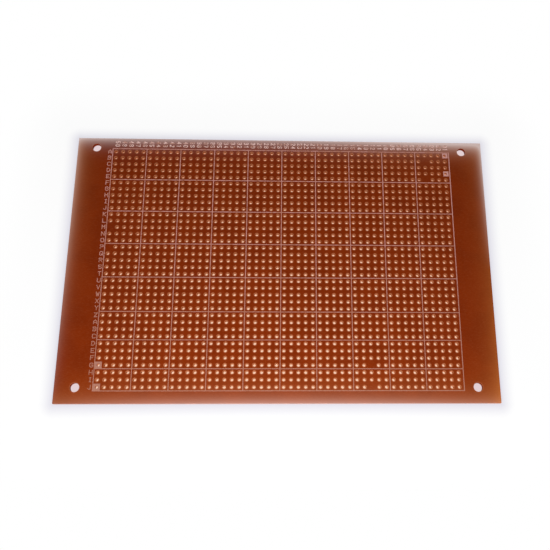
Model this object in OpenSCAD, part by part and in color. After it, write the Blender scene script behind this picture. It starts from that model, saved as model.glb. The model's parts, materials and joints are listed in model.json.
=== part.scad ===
// Prototype board: a punched phenolic plate with a ring of copper foil under each
// component hole and a printed index grid on top. The board lies component side
// up: +X runs along the rows, the row letters stand at -X, and the index grid
// is centred on the origin.

/* [Board] */
// Length of the plate along the rows (mm)
board_l = 153; // [150:0.1:160]
// Width of the plate across the rows (mm)
board_w = 100; // [99:0.1:108]
// Thickness of the plate (mm)
board_t = 1.5; // [0.8:0.1:2.4]

/* [Component holes] */
// Distance from hole to hole, both ways (mm)
pitch = 2.54; // [2.4:0.01:2.56]
// Number of columns in each ruled group
group_columns = 5; // [4:1:5]
// Number of ruled groups along the board
column_groups = 10; // [6:1:10]
// Number of rows in each ruled group, from the first row down
row_groups = [5, 5, 5, 5, 5, 4, 4, 3]; // [2:1:5]
// Diameter of a component hole (mm)
hole_d = 1; // [0.7:0.05:1.3]
// Grid places left unpunched, as [row, column] from the first row and the left
unpunched = [[1, 46], [4, 46], [12, 0], [15, 0], [32, 37], [35, 37]];

/* [Mounting holes] */
// Distance from an end of the plate to the mounting holes near it (mm)
mount_inset_x = 7.3; // [6:0.1:7.5]
// Distance from a long side of the plate to the mounting holes near it (mm)
mount_inset_y = 4.7; // [4:0.1:8]
// Diameter of a mounting hole (mm)
mount_d = 3.2; // [2.5:0.1:3.6]
// Shift of all the mounting holes along the board (mm)
mount_shift_x = -0.4; // [-0.5:0.1:0.5]
// Shift of all the mounting holes across the board (mm)
mount_shift_y = 0.8; // [-1:0.1:1]

/* [Copper] */
// Outer diameter of the copper ring round a hole (mm)
pad_d = 1.9; // [1.5:0.05:2.2]
// Thickness of the copper foil (mm)
pad_t = 0.035; // [0.018:0.001:0.105]

/* [Printed legend] */
// Thickness of the printed ink (mm)
ink_t = 0.02; // [0.01:0.005:0.05]
// Width of a ruled line (mm)
line_w = 0.3; // [0.15:0.05:0.5]
// Distance from the last column of holes to the frame line beside it (mm)
end_gap = 1.65; // [1.2:0.05:1.9]
// Side of a filled square round a hole of the last column (mm)
mark_side = 2.05; // [1.7:0.05:2.2]
// Offset of those squares from their holes, away from the letters (mm)
mark_x = 0.2; // [0:0.05:0.3]
// Side of a filled square round a hole of the first column (mm)
corner_mark_side = 2.4; // [2.3:0.05:2.6]

/* [Hidden] */
$fn = 72;
eps = 0.01;
columns = group_columns * column_groups;
rows = sum(row_groups, len(row_groups));
half = pitch / 2;
frame_left = column_x(0) - half;
frame_right = column_x(columns - 1) + end_gap;
frame_top = row_y(0) + half;
frame_bottom = row_y(rows - 1) - half;
laminate_z = pad_t;
legend_z = laminate_z + board_t;
laminate_color = [0.43, 0.17, 0.04];
copper_color = [0.80, 0.50, 0.30];
ink_color = [0.90, 0.80, 0.77];

// Sum of the first n values of a list
function sum(list, n) = n == 0 ? 0 : list[n - 1] + sum(list, n - 1);
// Centre of a column of holes, counted from the left
function column_x(c) = (c - (columns - 1) / 2) * pitch;
// Centre of a row of holes, counted from the first row
function row_y(r) = ((rows - 1) / 2 - r) * pitch;
function is_punched(r, c) = len([for (u = unpunched) if (u == [r, c]) 1]) == 0;
function is_corner(r, c) = (r == 0 || r == rows - 1) && (c == 0 || c == columns - 1);

// Puts its children on every punched hole, or only on the four outermost ones
module at_holes(corners = true, others = true) {
    for (r = [0 : rows - 1], c = [0 : columns - 1])
        if (is_punched(r, c) && (is_corner(r, c) ? corners : others))
            translate([column_x(c), row_y(r)]) children();
}

module at_mounts() {
    reach = [board_l / 2 - mount_inset_x, board_w / 2 - mount_inset_y];
    for (x = [-1, 1], y = [-1, 1])
        translate([mount_shift_x + x * reach[0], mount_shift_y + y * reach[1]]) children();
}

// Rings of foil round every hole, or only round the four outermost ones
module rings(corners = true, others = true) {
    linear_extrude(pad_t) difference() {
        at_holes(corners, others) circle(d = pad_d);
        at_holes(corners, others) circle(d = hole_d);
    }
}

// A ruled line from one point to another, along X or along Y
module rule(from, to) {
    reach = [line_w / 2, line_w / 2];
    translate(from - reach) square(to - from + 2 * reach);
}

// A filled square round a hole
module mark(r, c, side, shift) {
    translate([column_x(c) + shift, row_y(r)]) square(side, center = true);
}

module laminate() {
    color(laminate_color) difference() {
        translate([-board_l / 2, -board_w / 2, laminate_z]) cube([board_l, board_w, board_t]);
        translate([0, 0, laminate_z - eps]) {
            at_mounts() cylinder(d = mount_d, h = board_t + 2 * eps);
            at_holes() cylinder(d = hole_d, h = board_t + 2 * eps);
        }
    }
}

module copper_pads() {
    color(copper_color) rings(corners = false);
}

module corner_pads() {
    color(copper_color) rings(others = false);
}

module legend() {
    last_group = rows - row_groups[len(row_groups) - 1];
    color(ink_color) translate([0, 0, legend_z]) linear_extrude(ink_t) difference() {
        union() {
            for (g = [0 : column_groups]) {
                x = g == column_groups ? frame_right : frame_left + g * group_columns * pitch;
                rule([x, frame_bottom], [x, frame_top]);
            }
            for (g = [0 : len(row_groups)]) {
                y = frame_top - sum(row_groups, g) * pitch;
                rule([frame_left, y], [frame_right, y]);
            }
            for (r = [0, 3]) mark(r, columns - 1, mark_side, mark_x);
            for (r = [last_group - 1, rows - 1]) mark(r, 0, corner_mark_side, 0);
        }
        for (r = [0, 3]) translate([column_x(columns - 1), row_y(r)]) circle(d = hole_d);
        for (r = [last_group - 1, rows - 1]) translate([column_x(0), row_y(r)]) circle(d = hole_d);
    }
}

laminate();
copper_pads();
corner_pads();
legend();
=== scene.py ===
"""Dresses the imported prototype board: plate, copper rings, printed grid, letters and numbers."""

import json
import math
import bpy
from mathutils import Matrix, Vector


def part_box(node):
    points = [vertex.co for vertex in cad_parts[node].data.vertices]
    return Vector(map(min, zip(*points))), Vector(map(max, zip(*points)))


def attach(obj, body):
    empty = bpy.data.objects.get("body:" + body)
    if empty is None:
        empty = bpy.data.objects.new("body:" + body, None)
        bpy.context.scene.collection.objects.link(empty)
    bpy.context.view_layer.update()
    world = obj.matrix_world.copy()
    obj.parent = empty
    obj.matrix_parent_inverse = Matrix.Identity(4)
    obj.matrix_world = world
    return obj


bl_info = {
    "name": "Prototype Board",
    "version": (1, 0, 0),
    "blender": (4, 5, 0),
    "location": "View3D > Sidebar > Prototype Board",
    "description": "Gives a punched prototype board its finishes, its index and a table",
    "category": "Object",
}

from typing import NamedTuple

import bpy
from bpy.props import FloatProperty, FloatVectorProperty, PointerProperty
from bpy.types import Operator, Panel, PropertyGroup
from mathutils import Matrix, Vector

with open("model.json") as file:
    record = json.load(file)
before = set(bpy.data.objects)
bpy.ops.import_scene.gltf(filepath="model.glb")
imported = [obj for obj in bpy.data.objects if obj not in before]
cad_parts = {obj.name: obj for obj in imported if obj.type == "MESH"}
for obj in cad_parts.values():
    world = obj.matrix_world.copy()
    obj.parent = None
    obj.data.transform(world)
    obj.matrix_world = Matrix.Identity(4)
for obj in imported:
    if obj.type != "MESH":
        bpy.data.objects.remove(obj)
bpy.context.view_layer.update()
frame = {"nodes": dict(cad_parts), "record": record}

MM = 0.001
WHITE = (1.0, 1.0, 1.0)

# Lowest and highest corners in metres, and the mounts by name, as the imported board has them
PLATE_LOW, PLATE_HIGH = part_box("laminate")
LEGEND_LOW, LEGEND_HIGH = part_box("legend")
MOUNTS = {mount["name"]: mount for mount in frame["record"]["mounts"]}

# The component holes in millimetres, with rows counted from row A and columns from the left
COLUMNS = 50
ROWS = 36
UNPUNCHED = [(1, 46), (4, 46), (12, 0), (15, 0), (32, 37), (35, 37)]
PITCH = 2.54
HOLE_R = 0.5
GRID_HALF_X = COLUMNS * PITCH / 2
GRID_HALF_Y = ROWS * PITCH / 2

# How near to a face or a hole's wall, in millimetres, a point counts as lying on it
FACE_MARGIN = 0.02
PUNCHED_MARGIN = 0.02
DRILLED_MARGIN = 0.05

# Reach in millimetres from the middle of a cell to just short of the ruled lines on its border
INSIDE_LINES = 1.1

# Greatest share of the plate's colour that its sheared rims cover
RIM_LIMIT = 0.95

# Share of the worn colour in the ink of the last rows, and how far in millimetres to each side of
# the board's middle it takes to fade
MOST_WORN = 0.85
WEAR_REACH = 45.0

# Each further stroke of a character is thinner by this share
THINNER_BY = 0.06

# Half width of a stroke as a share of its longest mitre
MITRE_LIMIT = 0.35

# Half a side of the table in metres
TABLE_HALF = 2.0

# Where the table's look changes, as distances in millimetres outwards from the grid or the plate
GRID_LIGHT_FADE = (0.0, 2.0)
PLATE_LIGHT_FADE = (-0.5, 0.5)
# The painted shade beside the board fades out over this span
PAINTED_SHADE_FADE = (-3.0, 6.0)
GLOW_FADE = (2.0, 30.0)

# Where the camera stands and what it is aimed at, in millimetres from the middle of the plate's top
CAMERA_PLACE = (2.26, -87.39, 255.79)
CAMERA_AIM = (14.14, -3.92, 0.0)

# Row letters start again from A after Z
ROW_LETTERS = "ABCDEFGHIJKLMNOPQRSTUVWXYZABCDEFGHIJ"

# Pen strokes of each character on a grid 4 wide and 6 high. Each pair of digits is one point,
# x then y, and a bar starts a new stroke
PEN_WIDTH = 4
PEN_HEIGHT = 6
PEN_STROKES = {
    "A": "00 04 26 44 40|02 42",
    "B": "00 06 36 45 44 33 03|33 42 41 30 00",
    "C": "45 36 16 05 01 10 30 41",
    "D": "00 06 26 44 42 20 00",
    "E": "46 06 00 40|03 33",
    "F": "46 06 00|03 33",
    "G": "45 36 16 05 01 10 30 41 43 23",
    "H": "00 06|40 46|03 43",
    "I": "20 26|16 36|10 30",
    "J": "36 31 20 10 01",
    "K": "00 06|46 03 40",
    "L": "06 00 40",
    "M": "00 06|06 23 46|46 40",
    "N": "00 06|06 40|40 46",
    "O": "10 01 05 16 36 45 41 30 10",
    "P": "00 06 36 45 44 33 03",
    "Q": "10 01 05 16 36 45 41 30 10|22 40",
    "R": "00 06 36 45 44 33 03|23 40",
    "S": "45 36 16 05 04 13 33 42 41 30 10 01",
    "T": "06 46|26 20",
    "U": "06 01 10 30 41 46",
    "V": "06 20|20 46",
    "W": "06 10|10 24|24 30|30 46",
    "X": "00 46|06 40",
    "Y": "06 23 46|23 20",
    "Z": "06 46|46 00|00 40",
    "0": "10 01 05 16 36 45 41 30 10",
    "1": "15 26 20",
    "2": "05 16 36 45 44 00|00 40",
    "3": "05 16 36 45 44 33 13|33 42 41 30 10 01",
    "4": "30 36|36 02|02 42",
    "5": "46 06 03 33 42 41 30 10 01",
    "6": "45 36 16 05 01 10 30 41 42 33 03",
    "7": "06 46 20",
    "8": "13 04 05 16 36 45 44 33 13|13 02 01 10 30 41 42 33",
    "9": "01 10 30 41 45 36 16 05 04 13 43",
}


def display(red, green, blue):
    """A screen colour from 0 to 255 as the linear colour that Blender stores."""
    return tuple(
        c / 12.92 if c <= 0.04045 else ((c + 0.055) / 1.055) ** 2.4
        for c in (red / 255, green / 255, blue / 255)
    )


def length(name, description, default_mm):
    """A size property, which holds metres. Its default is given in millimetres."""
    return FloatProperty(name=name, description=description, default=default_mm * MM, min=0,
                         precision=5, unit="LENGTH", subtype="DISTANCE")


def colour(name, description, default):
    """A colour property, in linear light."""
    return FloatVectorProperty(name=name, description=description, default=default, size=3,
                               min=0, max=1, subtype="COLOR")


def amount(name, description, default, highest=1.0, subtype="FACTOR"):
    """A number property that is never below 0."""
    return FloatProperty(name=name, description=description, default=default,
                         min=0, max=highest, subtype=subtype)


class LaminateFinish(PropertyGroup):
    """Colours and gloss of the phenolic paper plate."""

    brown: colour("Resin brown", "Colour of the pressed face", display(123, 40, 4))
    deep: colour("Deep brown", "Darker clouds in the resin", display(116, 36, 3))
    punched: colour("Punched ring", "Bruised resin round a punched hole", display(205, 132, 88))
    # Pale torn fibres and painted light together: this colour brightens the bottom of a punched
    # wall as if lit from below
    fibre: colour("Fibre", "Torn paper fibres deep in a punched hole", display(252, 200, 160))
    shorn: colour("Shorn wall", "Clean upper part of a punched hole's wall", display(150, 80, 48))
    bleached: colour("Bleached rim", "Resin crazed pale at a sheared side", display(238, 214, 208))
    amber: colour("Amber rim", "Resin turned amber further in", display(225, 140, 70))
    halo: length("Halo width", "Reach of the paler ring round a punched hole", 0.38)
    gloss: amount("Roughness", "Roughness of the pressed face", 0.26)


class CopperFinish(PropertyGroup):
    """Colours of the copper rings."""

    bright: colour("Bright copper", "Freshly etched copper", display(214, 138, 98))
    tarnish: colour("Tarnish", "Darkened copper under the lacquer", display(150, 84, 52))


class InkFinish(PropertyGroup):
    """Colours of the screen-printed ink."""

    solid: colour("Solid ink", "Ink where the print is full", display(206, 148, 140))
    thin: colour("Thin ink", "Ink where the brown shows through", display(180, 117, 91))
    worn: colour("Worn ink", "Ink rubbed thin towards the last rows", display(152, 98, 76))
    fresh: colour("Fresh ink", "Ink of the column numbers, little rubbed", display(250, 212, 204))


class IndexLettering(PropertyGroup):
    """Sizes of the printed letters and numbers."""

    letter_width: length("Letter width", "Width of a row letter", 1.3)
    letter_height: length("Letter height", "Height of a row letter", 1.65)
    letter_gap: length("Letter gap", "Gap between a row letter and the frame line", 0.25)
    digit_width: length("Digit width", "Width of a digit of a column number", 0.95)
    digit_height: length("Digit height", "Height of a digit of a column number", 1.75)
    digit_space: length("Digit space", "Gap between the two digits of a column number", 0.38)
    number_shift: length("Number shift", "Offset of the numbers from their columns", 0.4)
    number_gap: length("Number gap", "Gap between a column number and the frame line", 0.75)
    stroke: length("Stroke width", "Width of a printed stroke", 0.26)


class StudioSettings(PropertyGroup):
    """Table, lamps and camera."""

    table: colour("Table", "Colour of the table top", (0.95, 0.95, 0.96))
    through: colour("Light under the grid", "Table under the punched grid", display(250, 208, 182))
    under: colour("Light under the margins", "Table under the rest of the board",
                  display(228, 208, 211))
    # Painted shade: a lavender tint that stands in for the board's soft shadow on the table
    shade: colour("Shade", "Soft shade on the table beside the board", display(209, 206, 222))
    glow: amount("Table evenness", "Share of its light near the board that lamps leave alone", 0.9)
    sky: amount("Surrounding light", "Strength of the light from all round", 0.2)
    key_power: amount("Key lamp", "Power of the large lamp in front", 0.48, 50, "POWER")
    fill_power: amount("Fill lamps", "Power of each lamp at the sides", 0.2, 50, "POWER")
    lens: amount("Lens", "Focal length of the camera", 48.86, 200, "DISTANCE_CAMERA")
    roll: FloatProperty(name="Roll", description="Turn of the camera about its own line of sight",
                        default=math.radians(8.03), subtype="ANGLE")
    shift: FloatProperty(name="Shift", description="Sideways shift of the camera's frame",
                         default=-0.082)


class BoardSettings(PropertyGroup):
    """Everything about the board that a user would change."""

    laminate: PointerProperty(type=LaminateFinish, name="Laminate",
                              description="Colours and gloss of the phenolic paper plate")
    copper: PointerProperty(type=CopperFinish, name="Copper",
                            description="Colours of the copper rings")
    ink: PointerProperty(type=InkFinish, name="Ink",
                         description="Colours of the screen-printed ink")
    index: PointerProperty(type=IndexLettering, name="Index",
                           description="Sizes of the printed letters and numbers")
    studio: PointerProperty(type=StudioSettings, name="Studio",
                            description="Table, lamps and camera")


class Value:
    """What one socket gives. Arithmetic with it adds Math nodes to its tree."""

    def __init__(self, nodes, socket):
        self.nodes = nodes
        self.socket = socket

    def math(self, operation, *values):
        return self.nodes.node("ShaderNodeMath", {"operation": operation}, values)

    def __add__(self, other):
        return self.math("ADD", self, other)

    def __sub__(self, other):
        return self.math("SUBTRACT", self, other)

    def __rsub__(self, other):
        return self.math("SUBTRACT", other, self)

    def __mul__(self, other):
        return self.math("MULTIPLY", self, other)

    def __truediv__(self, other):
        return self.math("DIVIDE", self, other)

    def __rtruediv__(self, other):
        return self.math("DIVIDE", other, self)

    def __pow__(self, other):
        return self.math("POWER", self, other)

    def __rpow__(self, other):
        return self.math("POWER", other, self)

    def __abs__(self):
        return self.math("ABSOLUTE", self)

    def __lt__(self, other):
        return self.math("LESS_THAN", self, other)

    def __gt__(self, other):
        return self.math("GREATER_THAN", self, other)

    __radd__ = __add__
    __rmul__ = __mul__

    def fraction(self):
        return self.math("FRACT", self)

    def exponential(self):
        return self.math("EXPONENT", self)

    def greatest(self, other):
        return self.math("MAXIMUM", self, other)

    def least(self, other):
        return self.math("MINIMUM", self, other)

    def smooth(self, low, high):
        """0 up to low, 1 from high on, and a smooth step between."""
        return self.nodes.node("ShaderNodeMapRange", {"interpolation_type": "SMOOTHSTEP"},
                               (self, low, high, 0.0, 1.0))


class Nodes:
    """The node tree of a material or of the world."""

    def __init__(self, owner):
        owner.use_nodes = True
        self.tree = owner.node_tree

    def node(self, kind, settings=None, inputs=(), output=0):
        """Adds a node. Settings are set first, then each input is linked or given its value."""
        made = self.tree.nodes.new(kind)
        for name, setting in (settings or {}).items():
            setattr(made, name, setting)
        pairs = inputs.items() if isinstance(inputs, dict) else enumerate(inputs)
        for key, value in pairs:
            if isinstance(value, Value):
                self.tree.links.new(value.socket, made.inputs[key])
            else:
                made.inputs[key].default_value = value
        return Value(self, made.outputs[output])

    def finish(self, value, node, socket):
        """Links a value to a socket of a node that is in the tree from the start."""
        self.tree.links.new(value.socket, self.tree.nodes[node].inputs[socket])

    def seen_directly(self):
        """1 for a ray from the camera, off gloss or through glass, and 0 for every other ray."""
        rays = ("Is Camera Ray", "Is Glossy Ray", "Is Transmission Ray")
        camera, glossy, through = [self.node("ShaderNodeLightPath", output=ray) for ray in rays]
        return camera.greatest(glossy).greatest(through)


class Surface(Nodes):
    """A material built round one Principled shader."""

    def __init__(self, name, **constants):
        self.material = bpy.data.materials.new(name)
        super().__init__(self.material)
        self.shader = self.tree.nodes["Principled BSDF"]
        for socket, value in constants.items():
            self.shader.inputs[socket.replace("_", " ")].default_value = value

    def place(self):
        """Position on the board in millimetres."""
        inputs = {0: self.node("ShaderNodeTexCoord", output="Object"), "Scale": 1 / MM}
        return self.node("ShaderNodeVectorMath", {"operation": "SCALE"}, inputs)

    def axes(self, vector):
        """The three parts of a vector."""
        return [self.node("ShaderNodeSeparateXYZ", None, (vector,), axis) for axis in "XYZ"]

    def stretched(self, vector, scale):
        """A vector with each part scaled by itself."""
        return self.node("ShaderNodeVectorMath", {"operation": "MULTIPLY"}, (vector, scale))

    def noise(self, vector, scale, detail=3.0, roughness=0.5):
        """Soft cloudy noise from 0 to 1."""
        inputs = {"Vector": vector, "Scale": scale, "Detail": detail, "Roughness": roughness}
        return self.node("ShaderNodeTexNoise", {"noise_dimensions": "3D"}, inputs)

    def mix(self, share, first, second):
        """A colour that goes from first to second as share goes from 0 to 1."""
        a, b = [c if isinstance(c, Value) else (*c, 1.0) for c in (first, second)]
        return self.node("ShaderNodeMix", {"data_type": "RGBA"}, {0: share, 6: a, 7: b}, 2)

    def bump(self, height, strength, reach_mm):
        """A normal that leans with the height."""
        inputs = {"Strength": strength, "Distance": reach_mm * MM, "Height": height}
        return self.node("ShaderNodeBump", None, inputs)

    def feed(self, **links):
        """Links values to the shader's sockets."""
        for socket, value in links.items():
            self.tree.links.new(value.socket, self.shader.inputs[socket.replace("_", " ")])
        return self.material


class Rim(NamedTuple):
    """How strongly a side of the plate is discoloured at its edge, and how far in it reaches."""

    middle: float
    slope: float
    bend: float
    reach_mm: float

    def cover(self, depth, position):
        """Share at a depth from the side. Position goes from -1 to 1 along it."""
        strength = (self.middle + (self.slope + self.bend * position) * position).greatest(0.0)
        return strength * (depth / -self.reach_mm).exponential()


# Rims of the four sides, each with its strength in the middle, the slope and bend of that strength
# along the side, and its reach in millimetres
BLEACHED = {
    "left": Rim(0.20, 0.18, 0.02, 1.1),
    "right": Rim(0.02, 0.62, 0.28, 0.9),
    "back": Rim(0.66, 0.35, 0.60, 1.7),
    "front": Rim(0.22, 0.02, -0.16, 1.6),
}
AMBER = {
    "left": Rim(0.18, 0.27, 0.02, 2.6),
    "right": Rim(0.19, -0.01, 0.10, 3.2),
    "back": Rim(0.0, 0.40, 0.0, 4.0),
    "front": Rim(0.17, 0.02, 0.02, 4.5),
}


def distance(dx, dy):
    """Length of the way that goes dx across and dy along."""
    return (dx * dx + dy * dy) ** 0.5


def cell_offsets(x, y):
    """Offsets in millimetres from the middle of the grid cell that a point lies in."""
    return [((v / PITCH).fraction() - 0.5) * PITCH for v in (x, y)]


def hole_centre(row, column):
    """Centre of a grid place in millimetres."""
    return (column - (COLUMNS - 1) / 2) * PITCH, ((ROWS - 1) / 2 - row) * PITCH


def punched_cells(x, y):
    """1 in every cell of the grid that has a hole, 0 elsewhere."""
    inside = (abs(x) < GRID_HALF_X) * (abs(y) < GRID_HALF_Y)
    for row, column in UNPUNCHED:
        cx, cy = hole_centre(row, column)
        off = abs(x - cx).greatest(abs(y - cy))
        inside = inside * (off > PITCH / 2)
    return inside


def mounting_distance(x, y):
    """Distance in millimetres to the wall of the nearest mounting hole."""
    mount = MOUNTS["mounting_holes"]
    cx, cy = (v / MM for v in mount["pos_m"][:2])
    dims = mount["dims"]
    dx = abs(abs(x - cx) - dims["spacing_x_mm"] / 2)
    dy = abs(abs(y - cy) - dims["spacing_y_mm"] / 2)
    return distance(dx, dy) - dims["hole_r_mm"]


def sheared_rim(x, y):
    """Shares of the bleached rim and of the amber rim inside it, from all four sheared sides."""
    low, high = PLATE_LOW / MM, PLATE_HIGH / MM
    across = x / high.x
    along = y / high.y
    sides = [
        (x - low.x, along, BLEACHED["left"], AMBER["left"]),
        (high.x - x, along, BLEACHED["right"], AMBER["right"]),
        (high.y - y, across, BLEACHED["back"], AMBER["back"]),
        (y - low.y, across, BLEACHED["front"], AMBER["front"]),
    ]
    bleached = sum(rim.cover(depth, position) for depth, position, rim, _ in sides)
    amber = sum(rim.cover(depth, position) for depth, position, _, rim in sides)
    return bleached.least(RIM_LIMIT), amber.least(RIM_LIMIT)


def laminate_surface(look):
    """Glossy brown phenolic paper, cloudy, with pale fibres where it was punched or sheared and
    painted light low in its holes.
    """
    s = Surface("phenolic_paper", Specular_IOR_Level=0.03)
    place = s.place()
    x, y, z = s.axes(place)
    low, high = PLATE_LOW / MM, PLATE_HIGH / MM

    from_wall = distance(*cell_offsets(x, y)) - HOLE_R
    holes = punched_cells(x, y)
    halo = look.halo / MM
    near_hole = holes * (1 - from_wall.smooth(0.0, halo))
    near_mount = 1 - mounting_distance(x, y).smooth(0.0, halo)
    between_faces = ((high.z - z) > FACE_MARGIN) * ((z - low.z) > FACE_MARGIN)
    punched_wall = between_faces * holes * (from_wall < PUNCHED_MARGIN)
    drilled_wall = between_faces * (mounting_distance(x, y) < DRILLED_MARGIN)

    clouds = s.noise(place, scale=0.11, detail=2.0)
    fibres = s.noise(s.stretched(place, (1.0, 6.0, 1.0)), scale=1.1, detail=4.0, roughness=0.6)
    layers = s.noise(s.stretched(place, (0.6, 0.6, 18.0)), scale=1.0)
    face = s.mix(clouds.smooth(0.35, 0.65), look.brown, look.deep)
    face = s.mix(fibres.smooth(0.45, 0.85) * 0.12, face, look.punched)
    face = s.mix((0.66 * near_hole).greatest(0.25 * near_mount), face, look.punched)
    bleached, amber = sheared_rim(x, y)
    face = s.mix(bleached, s.mix(amber, face, look.amber), look.bleached)
    # A punched wall grows paler towards its bottom: partly torn fibres, partly painted light from
    # the table under the hole
    sunk = (high.z - z) / (high.z - low.z) + 0.3 * (layers - 0.5)
    base = s.mix(punched_wall, face, s.mix(sunk.smooth(0.2, 0.8), look.shorn, look.fibre))
    base = s.mix(drilled_wall, base, s.mix(layers.smooth(0.35, 0.65), look.deep, look.brown))

    wall = punched_wall.greatest(drilled_wall)
    rough = look.gloss + 0.10 * fibres + 0.25 * near_hole + 0.3 * wall
    relief = 0.35 * fibres + 0.8 * near_hole * (from_wall.smooth(0.0, 0.12)) + layers * wall
    normal = s.bump(relief, strength=0.35, reach_mm=0.05)
    return s.feed(Base_Color=base, Roughness=rough, Normal=normal)


def copper_surface(look):
    """Etched copper under thin lacquer, unevenly tarnished, with a fine brushed grain."""
    s = Surface("etched_copper", Metallic=1.0, Coat_Weight=0.4, Coat_Roughness=0.12)
    place = s.place()
    stains = s.noise(place, scale=0.35, detail=4.0, roughness=0.6)
    grain = s.noise(s.stretched(place, (1.0, 14.0, 1.0)), scale=1.6)
    base = s.mix(stains.smooth(0.38, 0.68), look.bright, look.tarnish)
    rough = 0.26 + 0.22 * stains + 0.10 * grain
    normal = s.bump(grain, strength=0.25, reach_mm=0.02)
    return s.feed(Base_Color=base, Roughness=rough, Normal=normal)


def ink_surface(name, look, filled=None, full=None):
    """Matt screen-printed ink, thin enough in places for the brown to show.

    Full is its colour where it isn't thin, and filled gives the places that are never thin.
    """
    s = Surface(name, Specular_IOR_Level=0.3)
    place = s.place()
    patches = s.noise(place, scale=0.9, roughness=0.65)
    mesh_marks = s.noise(place, scale=7.0, detail=2.0)
    cover = patches.smooth(0.30, 0.62)
    if filled is not None:
        cover = cover.greatest(filled(s, place))
    worn = MOST_WORN - MOST_WORN * s.axes(place)[1].smooth(-WEAR_REACH, WEAR_REACH)
    base = s.mix(worn, s.mix(cover, look.thin, full or look.solid), look.worn)
    rough = 0.55 + 0.2 * mesh_marks
    normal = s.bump(mesh_marks, strength=0.3, reach_mm=0.01)
    return s.feed(Base_Color=base, Roughness=rough, Normal=normal)


def filled_squares(s, place):
    """1 on the squares round holes and most of the frame line past them, 0 on the other lines."""
    x, y, _ = s.axes(place)
    across, along = cell_offsets(x, y)
    return abs(across).greatest(abs(along)) < INSIDE_LINES


def finish_node(node, material):
    """Gives a CAD node's object one material."""
    materials = frame["nodes"][node].data.materials
    materials.clear()
    materials.append(material)


def strokes_of(character, width, height):
    """The character's pen strokes as lists of points, scaled and centred on the origin."""
    strokes = []
    for run in PEN_STROKES[character].split("|"):
        points = [(int(x) / PEN_WIDTH - 0.5, int(y) / PEN_HEIGHT - 0.5) for x, y in run.split()]
        strokes.append([Vector((x * width, y * height)) for x, y in points])
    return strokes


def stroke_sides(points, half):
    """Left and right edges of a stroke of the given half width, mitred at its bends."""
    closed = points[0] == points[-1]
    core = points[:-1] if closed else points
    count = len(core)
    sides = []
    for i, point in enumerate(core):
        starts = not closed and i == 0
        ends = not closed and i == count - 1
        arriving = (point - core[i - 1]).normalized()
        leaving = (core[(i + 1) % count] - point).normalized()
        if starts:
            arriving = leaving
            point = point - leaving * half
        if ends:
            leaving = arriving
            point = point + arriving * half
        along = (arriving + leaving).normalized()
        normal = Vector((-along.y, along.x))
        reach = half / max(normal.dot(Vector((-leaving.y, leaving.x))), MITRE_LIMIT)
        sides.append((point + normal * reach, point - normal * reach))
    return sides, closed


def add_stroke(mesh, points, half, thickness, stand):
    """Adds one stroke to the mesh as a thin closed slab. Stand places it on the board."""
    sides, closed = stroke_sides(points, half)
    vertices, faces = mesh
    first = len(vertices)
    for left, right in sides:
        for z in (thickness, 0.0):
            for side in (left, right):
                vertices.append(stand @ Vector((side.x, side.y, z)))
    count = len(sides)
    for i in range(count if closed else count - 1):
        a = first + 4 * i
        b = first + 4 * ((i + 1) % count)
        faces += [(a, a + 1, b + 1, b), (a + 2, b + 2, b + 3, a + 3),
                  (a, b, b + 2, a + 2), (a + 1, a + 3, b + 3, b + 1)]
    if not closed:
        end = first + 4 * (count - 1)
        faces += [(first, first + 2, first + 3, first + 1), (end, end + 1, end + 3, end + 2)]


def add_character(mesh, character, size, stroke, stand):
    """Adds a character of an outer width and height to the mesh, as thick as the printed frame.

    Each further stroke is a little thinner, so that no two of them lie level where they cross.
    """
    width, height = (side - stroke for side in size)
    thickness = LEGEND_HIGH.z - LEGEND_LOW.z
    for order, points in enumerate(strokes_of(character, width, height)):
        add_stroke(mesh, points, stroke / 2, thickness * (1 - THINNER_BY * order), stand)


def printed_piece(name, mesh, material):
    """Makes an object from gathered strokes and lets it ride on the board."""
    vertices, faces = mesh
    data = bpy.data.meshes.new(name)
    data.from_pydata(vertices, [], faces)
    data.validate()
    data.materials.append(material)
    piece = bpy.data.objects.new(name, data)
    bpy.context.scene.collection.objects.link(piece)
    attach(piece, "root")


class BOARD_OT_laminate(Operator):
    """Give the plate its brown phenolic finish"""

    bl_idname = "board.laminate"
    bl_label = "Laminate"

    def execute(self, context):
        finish_node("laminate", laminate_surface(context.scene.prototype_board.laminate))
        return {"FINISHED"}


class BOARD_OT_copper(Operator):
    """Give the copper rings on the underside their finish"""

    bl_idname = "board.copper"
    bl_label = "Copper Rings"

    def execute(self, context):
        copper = copper_surface(context.scene.prototype_board.copper)
        for node in ("copper_pads", "corner_pads"):
            finish_node(node, copper)
        return {"FINISHED"}


class BOARD_OT_ruled_grid(Operator):
    """Give the printed frame, lines and squares their ink"""

    bl_idname = "board.ruled_grid"
    bl_label = "Ruled Grid"

    def execute(self, context):
        ink = ink_surface("grid_ink", context.scene.prototype_board.ink, filled_squares)
        finish_node("legend", ink)
        return {"FINISHED"}


class BOARD_OT_row_letters(Operator):
    """Print a letter beside each row of holes"""

    bl_idname = "board.row_letters"
    bl_label = "Row Letters"

    def execute(self, context):
        board = context.scene.prototype_board
        index = board.index
        size = (index.letter_width, index.letter_height)
        x = LEGEND_LOW.x - index.letter_gap - index.letter_width / 2
        mesh = ([], [])
        for row, letter in enumerate(ROW_LETTERS):
            stand = Matrix.Translation((x, hole_centre(row, 0)[1] * MM, LEGEND_LOW.z))
            add_character(mesh, letter, size, index.stroke, stand)
        printed_piece("row_letters", mesh, ink_surface("letter_ink", board.ink))
        return {"FINISHED"}


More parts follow.
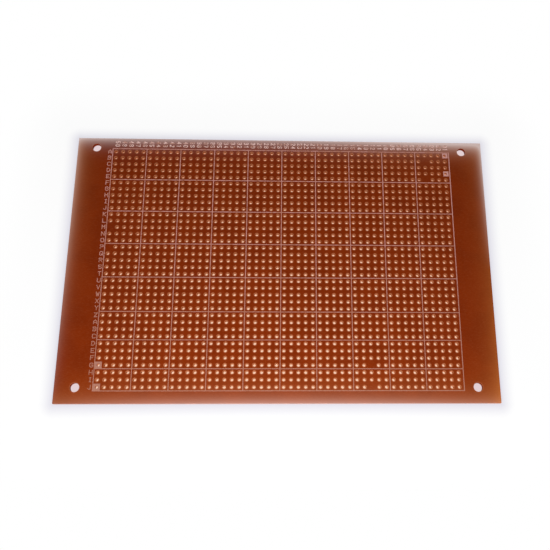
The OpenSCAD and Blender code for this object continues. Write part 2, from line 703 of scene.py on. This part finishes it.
class BOARD_OT_column_numbers(Operator):
    """Print a two-digit number at the head of each column of holes, turned to read downwards"""

    bl_idname = "board.column_numbers"
    bl_label = "Column Numbers"

    def execute(self, context):
        board = context.scene.prototype_board
        index = board.index
        size = (index.digit_width, index.digit_height)
        step = index.digit_width + index.digit_space
        units_y = LEGEND_HIGH.y + index.number_gap + index.digit_width / 2
        turned = Matrix.Rotation(-math.pi / 2, 4, "Z")
        mesh = ([], [])
        for column in range(COLUMNS):
            x = hole_centre(0, column)[0] * MM + index.number_shift
            for place, digit in enumerate(reversed(f"{COLUMNS - column:02d}")):
                stand = Matrix.Translation((x, units_y + place * step, LEGEND_LOW.z)) @ turned
                add_character(mesh, digit, size, index.stroke, stand)
        ink = ink_surface("number_ink", board.ink, full=board.ink.fresh)
        printed_piece("column_numbers", mesh, ink)
        return {"FINISHED"}


def table_surface(studio):
    """A pale table that looks white away from the board, with a painted soft shade beside it and a
    little of the board's own shadow.

    Under the board it gives a light of its own, which shows through the holes.
    """
    s = Surface("pale_table", Base_Color=(*studio.table, 1.0), Roughness=0.7)
    x, y, _ = s.axes(s.place())
    corner = PLATE_HIGH / MM
    past_x = abs(x) - corner.x
    past_y = abs(y) - corner.y
    beyond = past_x.greatest(past_y)
    outside = distance(past_x.greatest(0.0), past_y.greatest(0.0))
    past_grid = (abs(x) - GRID_HALF_X).greatest(abs(y) - GRID_HALF_Y)
    under = s.mix(past_grid.smooth(*GRID_LIGHT_FADE), studio.through, studio.under)
    # Painted shade: the table is tinted darker close beside the board, in place of the board's soft
    # shadow
    beside = s.mix(outside.smooth(*PAINTED_SHADE_FADE), studio.shade, WHITE)
    tint = s.mix(beyond.smooth(*PLATE_LIGHT_FADE), under, beside)
    own = studio.glow + (1 - studio.glow) * outside.smooth(*GLOW_FADE)
    light = s.node("ShaderNodeBsdfPrincipled", None, {
        "Emission Color": tint,
        "Emission Strength": 1.0,
        "Base Color": (0.0, 0.0, 0.0, 1.0),
        "Specular IOR Level": 0.0,
    })
    matt = Value(s, s.shader.outputs[0])
    share = (s.seen_directly() * own).greatest(beyond < 0.0)
    blend = s.node("ShaderNodeMixShader", None, {0: share, 1: matt, 2: light})
    s.finish(blend, "Material Output", "Surface")
    return s.material


def add_lamp(name, place_mm, size_mm, power):
    """A square soft lamp that points at the middle of the board."""
    data = bpy.data.lights.new(name, "AREA")
    data.size = size_mm * MM
    data.energy = power
    lamp = bpy.data.objects.new(name, data)
    lamp.location = Vector(place_mm) * MM
    lamp.rotation_euler = (-lamp.location).to_track_quat("-Z", "Y").to_euler()
    lamp.visible_camera = False
    bpy.context.scene.collection.objects.link(lamp)


def above_plate(x, y, height):
    """A point over the middle of the plate's top, given in millimetres."""
    return Vector((x * MM, y * MM, height * MM + PLATE_HIGH.z))


def add_camera(studio):
    """The camera stands in front of the board and looks down on it."""
    place = above_plate(*CAMERA_PLACE)
    aim = above_plate(*CAMERA_AIM)
    data = bpy.data.cameras.new("camera")
    data.lens = studio.lens
    data.shift_x = studio.shift
    data.clip_start = 0.01
    camera = bpy.data.objects.new("camera", data)
    look = (aim - place).to_track_quat("-Z", "Y").to_matrix().to_4x4()
    camera.matrix_world = Matrix.Translation(place) @ look @ Matrix.Rotation(studio.roll, 4, "Z")
    bpy.context.scene.collection.objects.link(camera)
    bpy.context.scene.camera = camera


def light_the_room(studio):
    """Even pale surroundings, which look white where they are seen directly."""
    world = bpy.data.worlds.new("surroundings")
    nodes = Nodes(world)
    nodes.tree.nodes["Background"].inputs["Color"].default_value = (*WHITE, 1.0)
    nodes.finish(studio.sky + (1 - studio.sky) * nodes.seen_directly(), "Background", "Strength")
    bpy.context.scene.world = world


def add_table(studio):
    """A wide flat table top, which the board lies on."""
    half = TABLE_HALF
    corners = [(-half, -half, 0), (half, -half, 0), (half, half, 0), (-half, half, 0)]
    data = bpy.data.meshes.new("table_top")
    data.from_pydata(corners, [], [(0, 1, 2, 3)])
    data.materials.append(table_surface(studio))
    table = bpy.data.objects.new("table_top", data)
    bpy.context.scene.collection.objects.link(table)


class BOARD_OT_stage(Operator):
    """Set up the table, the lamps and the camera"""

    bl_idname = "board.stage"
    bl_label = "Stage"

    def execute(self, context):
        studio = context.scene.prototype_board.studio
        add_table(studio)
        add_lamp("front_lamp", (-5, -160, 130), size_mm=100, power=studio.key_power)
        add_lamp("left_lamp", (-330, 60, 260), size_mm=200, power=studio.fill_power)
        add_lamp("right_lamp", (330, 60, 260), size_mm=200, power=studio.fill_power)
        light_the_room(studio)
        add_camera(studio)
        context.scene.view_settings.view_transform = "Standard"
        return {"FINISHED"}


STEPS = (
    BOARD_OT_laminate,
    BOARD_OT_copper,
    BOARD_OT_ruled_grid,
    BOARD_OT_row_letters,
    BOARD_OT_column_numbers,
    BOARD_OT_stage,
)


class BOARD_PT_panel(Panel):
    """Lists the steps that dress the board, and the settings that they read"""

    bl_label = "Prototype Board"
    bl_idname = "BOARD_PT_panel"
    bl_space_type = "VIEW_3D"
    bl_region_type = "UI"
    bl_category = "Prototype Board"

    def draw(self, context):
        for step in STEPS:
            self.layout.operator(step.bl_idname)
        board = context.scene.prototype_board
        for group in BoardSettings.__annotations__:
            box = self.layout.box()
            box.label(text=board.bl_rna.properties[group].name)
            settings = getattr(board, group)
            for setting in settings.__annotations__:
                box.prop(settings, setting)


CLASSES = (
    LaminateFinish,
    CopperFinish,
    InkFinish,
    IndexLettering,
    StudioSettings,
    BoardSettings,
    *STEPS,
    BOARD_PT_panel,
)


def register():
    for cls in CLASSES:
        bpy.utils.register_class(cls)
    bpy.types.Scene.prototype_board = PointerProperty(type=BoardSettings)


def unregister():
    del bpy.types.Scene.prototype_board
    for cls in reversed(CLASSES):
        bpy.utils.unregister_class(cls)


def main():
    """Dresses the board step by step."""
    register()
    bpy.ops.board.laminate()
    bpy.ops.board.copper()
    bpy.ops.board.ruled_grid()
    bpy.ops.board.row_letters()
    bpy.ops.board.column_numbers()
    bpy.ops.board.stage()


if __name__ == "__main__":
    main()
